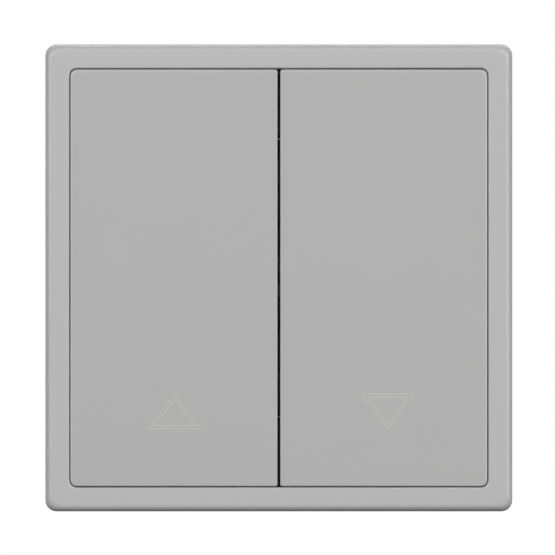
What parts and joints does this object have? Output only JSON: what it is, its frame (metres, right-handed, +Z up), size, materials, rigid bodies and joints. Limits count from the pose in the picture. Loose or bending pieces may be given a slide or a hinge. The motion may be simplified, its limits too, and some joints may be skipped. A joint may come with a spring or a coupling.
{
  "type": "roller shutter switch",
  "caption": "Flush wall switch for a roller shutter: square cover frame, two sprung rockers for up and down, steel support ring, contact mechanism, wire terminals and claws.",
  "frame": {"origin": "centre of the device on the wall's surface, where it is fixed to a flush wall box", "axes": "+Z up, +X to the right seen from the front, +Y into the wall; the front faces -Y"},
  "size_m": [0.08, 0.0332, 0.08],
  "materials": {
    "cover_plastic": "fine satin grey, moulded",
    "inner_plastic": "black, moulded",
    "base_plastic": "dark grey, moulded",
    "lever_plastic": "orange, moulded",
    "plated_steel": "zinc plated, punched",
    "spring_steel": "bright",
    "contact_brass": "punched",
    "contact_silver": "polished"
  },
  "bodies": {
    "housing": {"cover_frame": "cover_plastic", "support_ring": "plated_steel", "retaining_frame": "inner_plastic", "switch_cover": "inner_plastic", "switch_base": "base_plastic", "upper_assembly_screw": "plated_steel", "lower_assembly_screw": "plated_steel", "left_return_spring": "spring_steel", "right_return_spring": "spring_steel", "up_clamp_spring": "spring_steel", "down_clamp_spring": "spring_steel", "line_clamp_spring": "spring_steel", "line_bar": "contact_brass", "up_bar": "contact_brass", "down_bar": "contact_brass", "link_bar": "contact_brass", "left_make_contact": "contact_silver", "left_break_contact": "contact_silver", "right_make_contact": "contact_silver"},
    "left_rocker": {"left_rocker_cover": "cover_plastic", "left_rocker_cradle": "inner_plastic", "left_plunger": "inner_plastic", "left_plunger_spring": "spring_steel"},
    "right_rocker": {"right_rocker_cover": "cover_plastic", "right_rocker_cradle": "inner_plastic", "right_plunger": "inner_plastic", "right_plunger_spring": "spring_steel"},
    "left_arm": {"left_contact_arm": "contact_brass", "left_make_rivet": "contact_silver", "left_break_rivet": "contact_silver"},
    "right_arm": {"right_contact_arm": "contact_brass", "right_make_rivet": "contact_silver"},
    "up_lever": {"up_release_lever": "lever_plastic"},
    "down_lever": {"down_release_lever": "lever_plastic"},
    "line_lever": {"line_release_lever": "lever_plastic"},
    "left_claw_screw": {"left_claw_screw": "plated_steel"},
    "right_claw_screw": {"right_claw_screw": "plated_steel"},
    "left_claw": {"left_claw": "plated_steel"},
    "right_claw": {"right_claw": "plated_steel"}
  },
  "joints": [
    {"name": "left_rocker_tilt", "type": "hinge", "parent": "housing", "child": "left_rocker", "pos_m": [-0.01, -0.0055, 0], "axis": [1, 0, 0], "range_deg": [0, 3.5], "stiffness_Nm_per_rad": 0.82, "springref_deg": -3.5, "deforming": ["left_return_spring"]},
    {"name": "right_rocker_tilt", "type": "hinge", "parent": "housing", "child": "right_rocker", "pos_m": [0.01, -0.0055, 0], "axis": [1, 0, 0], "range_deg": [0, 3.5], "stiffness_Nm_per_rad": 0.82, "springref_deg": -3.5, "deforming": ["right_return_spring"]},
    {"name": "left_arm_tilt", "type": "hinge", "parent": "housing", "child": "left_arm", "pos_m": [-0.01, 0.008, 0.0004], "axis": [1, 0, 0], "range_deg": [-8.01, 0]},
    {"name": "right_arm_tilt", "type": "hinge", "parent": "housing", "child": "right_arm", "pos_m": [0.01, 0.008, 0.0004], "axis": [1, 0, 0], "range_deg": [-8.01, 0]},
    {"name": "up_lever_push", "type": "slide", "parent": "housing", "child": "up_lever", "axis": [0, -1, 0], "range_m": [0, 0.001], "stiffness_N_per_m": 1500, "springref_m": -0.0008, "deforming": ["up_clamp_spring"]},
    {"name": "down_lever_push", "type": "slide", "parent": "housing", "child": "down_lever", "axis": [0, -1, 0], "range_m": [0, 0.001], "stiffness_N_per_m": 1500, "springref_m": -0.0008, "deforming": ["down_clamp_spring"]},
    {"name": "line_lever_push", "type": "slide", "parent": "housing", "child": "line_lever", "axis": [0, -1, 0], "range_m": [0, 0.001], "stiffness_N_per_m": 1500, "springref_m": -0.0008, "deforming": ["line_clamp_spring"]},
    {"name": "left_claw_screw_turn", "type": "hinge", "parent": "housing", "child": "left_claw_screw", "pos_m": [-0.0246, 0, 0], "axis": [0, 1, 0], "range_deg": [0, 720]},
    {"name": "right_claw_screw_turn", "type": "hinge", "parent": "housing", "child": "right_claw_screw", "pos_m": [0.0246, 0, 0], "axis": [0, 1, 0], "range_deg": [0, 720]},
    {"name": "left_claw_swing", "type": "hinge", "parent": "housing", "child": "left_claw", "pos_m": [-0.0209, 0.0016, 0], "axis": [0, 0, 1], "range_deg": [0, 9.01]},
    {"name": "right_claw_swing", "type": "hinge", "parent": "housing", "child": "right_claw", "pos_m": [0.0209, 0.0016, 0], "axis": [0, 0, -1], "range_deg": [0, 9.01]}
  ],
  "couplings": [
    {"joint": "left_arm_tilt", "follows": "left_rocker_tilt", "ratio": -2.2857},
    {"joint": "right_arm_tilt", "follows": "right_rocker_tilt", "ratio": -2.2857},
    {"joint": "left_claw_swing", "follows": "left_claw_screw_turn", "ratio": 0.0125},
    {"joint": "right_claw_swing", "follows": "right_claw_screw_turn", "ratio": 0.0125}
  ]
}
